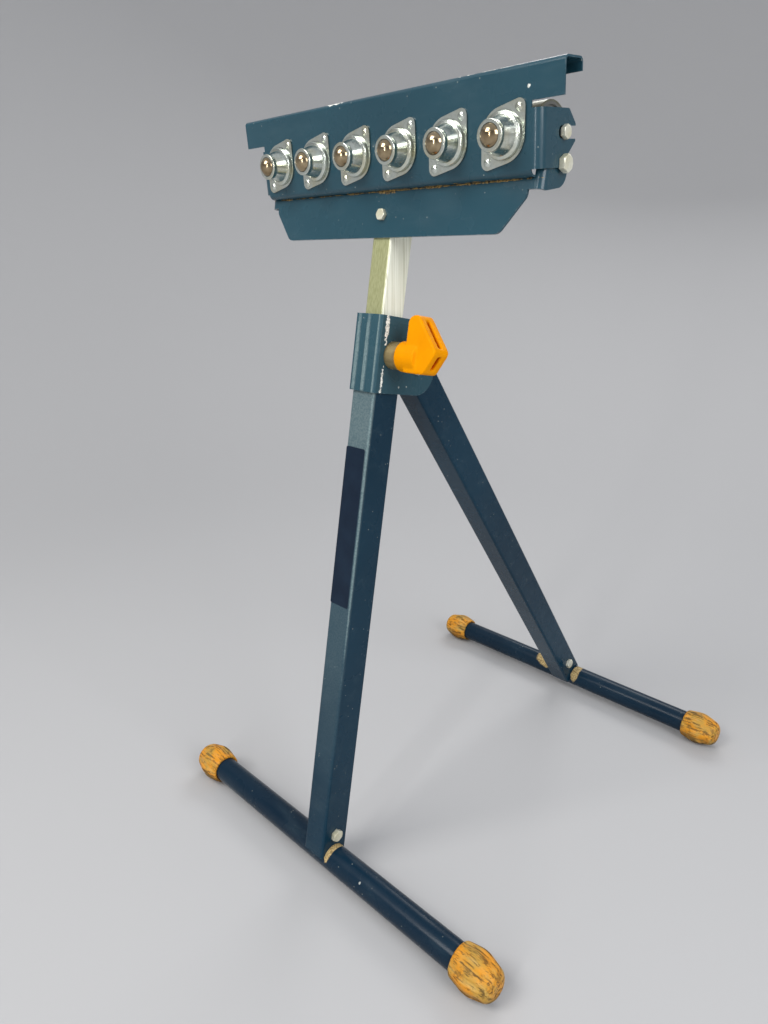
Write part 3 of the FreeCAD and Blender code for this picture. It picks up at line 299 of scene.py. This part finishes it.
def cap_plastic():
    """Foot caps: orange-yellow plastic under worn-in dirt that gathers between the ribs as dark streaks."""
    s = Shader("foot_cap_plastic", roughness=0.55, Specular_IOR_Level=0.3)
    base = s.mix(s.ramp(s.noise(60, detail=4), 0.4, 0.64), linear(214, 142, 30), linear(184, 142, 58))
    pale = s.ramp(s.noise(1, detail=4, where=s.stretched((30, 150, 150))), 0.5, 0.7)
    base = s.mix(s.math("MULTIPLY", pale, 0.5), base, linear(198, 168, 98))
    streaks = s.ramp(s.noise(1, detail=6, roughness=0.72, where=s.stretched((20, 260, 260))), 0.49, 0.6)
    blots = s.ramp(s.noise(70, detail=6, roughness=0.7), 0.54, 0.66)
    dirt_and_shade = s.either(s.math("MULTIPLY", streaks, 0.8), s.math("MULTIPLY", blots, 0.6))
    # The caps are darker towards the bottom, below about 26 mm.
    height = s.add("SeparateXYZ")
    s.feed(height.inputs[0], s.place)
    below = s.math("MULTIPLY", s.ramp(height.outputs["Z"], 0.026, 0.008),
                   s.ramp(s.noise(90, detail=5), 0.34, 0.56, 0.25, 1.0))
    dirt_and_shade = s.either(dirt_and_shade, s.math("MULTIPLY", below, 0.9))
    colour = s.mix(dirt_and_shade, base, linear(58, 48, 30))
    s.bump(s.noise(1, detail=5, where=s.stretched((40, 240, 240))), 0.25, 0.0005)
    return s.finish(colour, roughness=s.ramp(dirt_and_shade, 0.0, 1.0, 0.45, 0.85))


# Faces that the worn places and the painted sheen and shadow lie on, in mm, behind or across the post or
# behind the roller's axle
POST_FRONT = -19.1
COLLAR_FRONT = -23
COLLAR_SIDE = 19.1
SEAM_FRONT = -26.8

# The marks are the places where the paint is worn thin or gone, and places of painted sheen, highlight and
# shadow
# SEAM: rust specks over a painted shadow line, where the plate's lower fold overhangs the skirt.
SEAM = [mark(on_head(0, SEAM_FRONT, -33.0), (172, 4, 0.5), 1.7, 110),
        mark(on_head(5, SEAM_FRONT, -33.5), (14, 4, 1.8), 0.5, 300),
        mark(on_head(120, SEAM_FRONT, -33.1), (50, 4, 0.7), 1.5, 140)]
TUBE_PAINT = paint(
    "tube_enamel", (12, 33, 49), (17, 41, 58), dust=0.6, sheen=0.15, coat=0.06,
    bare=[mark(on_tube(FRONT_TUBE, 18.8, 0, 10), (4.6, 19, 11.5), 0.12, 120),
          mark(on_tube(REAR_TUBE, -34, -6, 10), (20, 13, 12), 0.12, 90),
          mark(on_tube(REAR_TUBE, 24, -6, 8), (7, 18, 14), 0.12, 90)],
    chipped=[mark(on_tube(FRONT_TUBE, 75, -12, 10.5), (1.2, 1.6, 1.6), 0.3, 500, share=0.55)])
FRAME_PAINT = paint(
    "frame_enamel", (11, 42, 59), (16, 50, 68), dust=0.5, sheen=0.15, coat=0.06,
    # Painted sheen: a lighter haze down the post's front face, strongest under the collar, and a highlight
    # line on its right corner.
    painted_sheen=[mark(on_post(0, POST_FRONT, 420), (50, 3.5, 260), 0.1, 30, soft=0.5, share=0.28, turn=LEAN),
            mark(on_post(0, POST_FRONT, 562), (45, 3.5, 85), 0.12, 40, soft=0.4, share=0.6, turn=LEAN),
            mark(on_post(15.2, -18.4, 420), (1.2, 1.6, 160), 0.25, soft=0.3, share=0.9, turn=LEAN)])
COLLAR_PAINT = paint(
    "collar_enamel", (38, 70, 81), (50, 82, 93), dust=0.5, sheen=0.2, coat=0.08,
    # Painted highlights: lighter bands along the two front beads and the right front corner.
    painted_sheen=[mark(on_post(-12.06, COLLAR_FRONT, 588), (2.6, 4, 55), 0.1, soft=0.4, turn=LEAN),
            mark(on_post(1.34, COLLAR_FRONT, 588), (2.6, 4, 55), 0.1, soft=0.4, turn=LEAN),
            mark(on_post(15.4, -22.4, 588), (1.2, 3, 60), 0.1, soft=0.3, turn=LEAN)],
    chipped=[mark(on_post(COLLAR_SIDE, -13, 621), (4, 2.6, 15), 0.55, 320, turn=LEAN),
             mark(on_post(COLLAR_SIDE, -12.8, 567), (4, 1.4, 12), 0.8, 320, turn=LEAN),
             mark(on_post(COLLAR_SIDE, -13.5, 556.5), (4, 1.6, 1.6), 0.4, 300),
             mark(on_post(COLLAR_SIDE, 14, 562), (4, 1, 1), 0.3, share=0.5),
             mark(on_post(COLLAR_SIDE, 26, 563), (4, 0.9, 0.9), 0.3, share=0.5)])
HEAD_PAINT = paint(
    "head_enamel", (27, 61, 74), (37, 74, 87), dust=0.5, coat=0.3, rust_and_seam_shadow=SEAM,
    chipped=[mark(on_head(128, -30, 49.5), (30, 4, 1), 0.7, 140),
             mark(on_head(-56, -32, 49), (12, 3, 1.2), 0.7, 200),
             mark(on_head(171, -34.5, 33), (1.3, 1.4, 1.6), 0.5, 300)])
ZINC_POST = post_zinc()
ZINC_ROLLER = plate_metal("roller_plate", (150, 150, 132), (132, 122, 88), roughness=0.36,
                          brushed=(20, 900, 900), dull=(92, 88, 70))
# The bolts, ball units, balls and boss get painted shade in their crevices.
ZINC_BOLT = plate_metal("bolt_plate", (232, 231, 214), (212, 204, 160), roughness=0.34, dull=(158, 150, 120),
                        dirt_and_shade=0.5, metallic=0.45)
ZINC_UNIT = plate_metal("unit_plate", (214, 220, 212), (206, 190, 132), roughness=0.2, tint_share=0.35,
                        dull=(120, 128, 116), stain=0.35, dirt_and_shade=0.6)
BALL_STEEL = plate_metal("ball_steel", (176, 158, 128), (126, 106, 76), roughness=0.14, tint_share=0.7,
                         dull=(92, 80, 60), dirt_and_shade=0.7)
STEEL = plate_metal("turned_steel", (150, 150, 146), (128, 122, 110), roughness=0.34)
BOSS = plate_metal("boss_metal", (158, 140, 98), (116, 94, 58), roughness=0.42, brushed=(14, 520, 520),
                   dull=(56, 46, 30), stain=0.4, dirt_and_shade=0.5, metallic=0.5)
BLACK = plastic("black_plastic", (24, 25, 27), (40, 41, 42), roughness=0.5)
# The knob's slots get a deeper orange as painted shade.
ORANGE = plastic("knob_orange", (230, 147, 0), (221, 138, 0), roughness=0.5, shine=0.04,
                 hollow_shade=(206, 84, 0))
CAPS = cap_plastic()
LABEL = plastic("label_film", (15, 29, 46), (21, 37, 54), roughness=0.4, shine=0.15)

PAINTED = {
    TUBE_PAINT: ("front_foot_tube", "front_foot_stub", "rear_foot_tube", "rear_foot_stub"),
    FRAME_PAINT: ("front_post", "rear_leg_tube"),
    COLLAR_PAINT: ("post_collar", "leg_bracket"),
    HEAD_PAINT: ("head_yoke", "ball_plate"),
    CAPS: [name for name in nodes if name.endswith("foot_cap")],
    BLACK: ["post_guide_bush", "clamp_pad"] + [name for name in nodes if name.startswith("ball_seat")],
    ZINC_POST: ("inner_post",),
    ZINC_ROLLER: ("roller_tube",),
    STEEL: ("roller_axle", "roller_bearing_left", "roller_bearing_right", "flip_sleeves",
            "leg_pivot_sleeve", "lock_screw"),
    ZINC_BOLT: ["axle_screws", "clamp_bolts", "clamp_nuts", "yoke_bolt", "yoke_nut"]
               + [name for name in nodes
                  if name.endswith(("foot_bolt", "foot_nut", "pivot_bolt", "pivot_nut"))],
    ZINC_UNIT: ["ball_rivets"] + [name for name in nodes if name.startswith("ball_housing")],
    BALL_STEEL: [name for name in nodes if name.startswith("load_ball")],
    BOSS: ("lock_boss",),
    ORANGE: ("lock_knob",),
}


def dress_nodes():
    """Gives each CAD node its material, and the moulded ones the soft edges that a mould leaves."""
    for material, names in PAINTED.items():
        for name in names:
            mesh = nodes[name].data
            mesh.materials.clear()
            mesh.materials.append(material)
    for name, voxel, rounds in [("lock_knob", 0.0008, 26)] + [(cap, 0.0008, 26) for cap in PAINTED[CAPS]]:
        cast = nodes[name].modifiers.new("cast", "REMESH")
        cast.mode = "VOXEL"
        cast.voxel_size = voxel
        cast.use_smooth_shade = True
        soft = nodes[name].modifiers.new("soft", "SMOOTH")
        soft.factor = 0.5
        soft.iterations = rounds


def label():
    """A bare dark film on the post's front face, with rounded corners and a thin raised edge."""
    LEFT, RIGHT = -15.2, 12.8
    LOW, HIGH = 318.0, 495.0
    FACE = -19.05
    GLUE = 0.04
    THICK = 0.12
    CORNER = 2.0
    STEPS = 5
    outline = []
    for x, along, start in ((RIGHT, HIGH, 0), (LEFT, HIGH, 1), (LEFT, LOW, 2), (RIGHT, LOW, 3)):
        centre = (x - (CORNER if x == RIGHT else -CORNER), along - (CORNER if along == HIGH else -CORNER))
        for step in range(STEPS + 1):
            turn = math.pi / 2 * (start + step / STEPS)
            outline.append((centre[0] + CORNER * math.cos(turn), centre[1] + CORNER * math.sin(turn)))
    bm = bmesh.new()
    back = [bm.verts.new(on_post(x, FACE - GLUE, along)) for x, along in outline]
    front = [bm.verts.new(on_post(x, FACE - GLUE - THICK, along)) for x, along in outline]
    bm.faces.new(front)
    for k in range(len(outline)):
        after = (k + 1) % len(outline)
        bm.faces.new((back[k], back[after], front[after], front[k]))
    bmesh.ops.recalc_face_normals(bm, faces=bm.faces)
    mesh = bpy.data.meshes.new("post_label")
    bm.to_mesh(mesh)
    bm.free()
    mesh.materials.append(LABEL)
    film = bpy.data.objects.new("post_label", mesh)
    bpy.context.scene.collection.objects.link(film)
    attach(film, "stand")


def stage():
    """A pale floor that curves up all round into a low wall, so every view has a plain backdrop."""
    LEVEL = 1.1
    RUN = 2.6
    RISE = 3.2
    STEPS = 44
    SIDES = 96
    profile = [(LEVEL + RUN * step / STEPS, RISE * (step / STEPS) ** 3) for step in range(STEPS + 1)]
    bm = bmesh.new()
    rings = []
    for radius, height in profile:
        turns = [2 * math.pi * k / SIDES for k in range(SIDES)]
        places = [(radius * math.cos(turn), radius * math.sin(turn), height) for turn in turns]
        rings.append([bm.verts.new(place) for place in places])
    bm.faces.new(rings[0])
    for lower, upper in zip(rings, rings[1:]):
        for k in range(SIDES):
            bm.faces.new((lower[k], lower[(k + 1) % SIDES], upper[(k + 1) % SIDES], upper[k]))
    bmesh.ops.recalc_face_normals(bm, faces=bm.faces)
    mesh = bpy.data.meshes.new("floor")
    bm.to_mesh(mesh)
    bm.free()
    for face in mesh.polygons:
        face.use_smooth = True
    floor = bpy.data.objects.new("floor", mesh)
    bpy.context.scene.collection.objects.link(floor)
    s = Shader("floor_paper", roughness=0.9)
    mesh.materials.append(s.finish(linear(180, 180, 181)))


def lamp(name, place, aim, size, power, colour=(1, 1, 1)):
    data = bpy.data.lights.new(name, "AREA")
    data.shape = "RECTANGLE"
    data.size, data.size_y = size
    data.energy = power
    data.color = colour
    lamp_object = bpy.data.objects.new(name, data)
    bpy.context.scene.collection.objects.link(lamp_object)
    lamp_object.location = place
    lamp_object.rotation_euler = (Vector(aim) - Vector(place)).to_track_quat("-Z", "Y").to_euler()


def lights():
    TARGET = (0, 0, 0.45)
    lamp("key", (-0.45, -1.9, 2.3), TARGET, (1.2, 1.2), 42, (1, 0.98, 0.95))
    lamp("fill", (2.1, -0.5, 1.5), TARGET, (1.2, 1.2), 30, (0.97, 0.98, 1))
    lamp("back", (-0.6, 1.9, 2.0), TARGET, (1.6, 1.0), 20)
    lamp("strip", (0.55, -2.3, 0.85), TARGET, (0.12, 1.7), 14)
    world = bpy.data.worlds.new("world")
    bpy.context.scene.world = world
    world.use_nodes = True
    sky = world.node_tree.nodes["Background"]
    sky.inputs["Color"].default_value = linear(226, 229, 234)
    sky.inputs["Strength"].default_value = 0.7


def camera():
    data = bpy.data.cameras.new("camera")
    data.lens = CAMERA_LENS
    data.sensor_width = SENSOR
    eye = bpy.data.objects.new("camera", data)
    bpy.context.scene.collection.objects.link(eye)
    right = Vector(CAMERA_RIGHT).normalized()
    up = Vector(CAMERA_UP).normalized()
    back = right.cross(up)
    turn = Matrix((right, up, back)).transposed().to_4x4()
    eye.matrix_world = Matrix.Translation(CAMERA_PLACE) @ turn
    bpy.context.scene.camera = eye


dress_nodes()
label()
stage()
lights()
camera()
bpy.context.scene.view_settings.view_transform = "Standard"
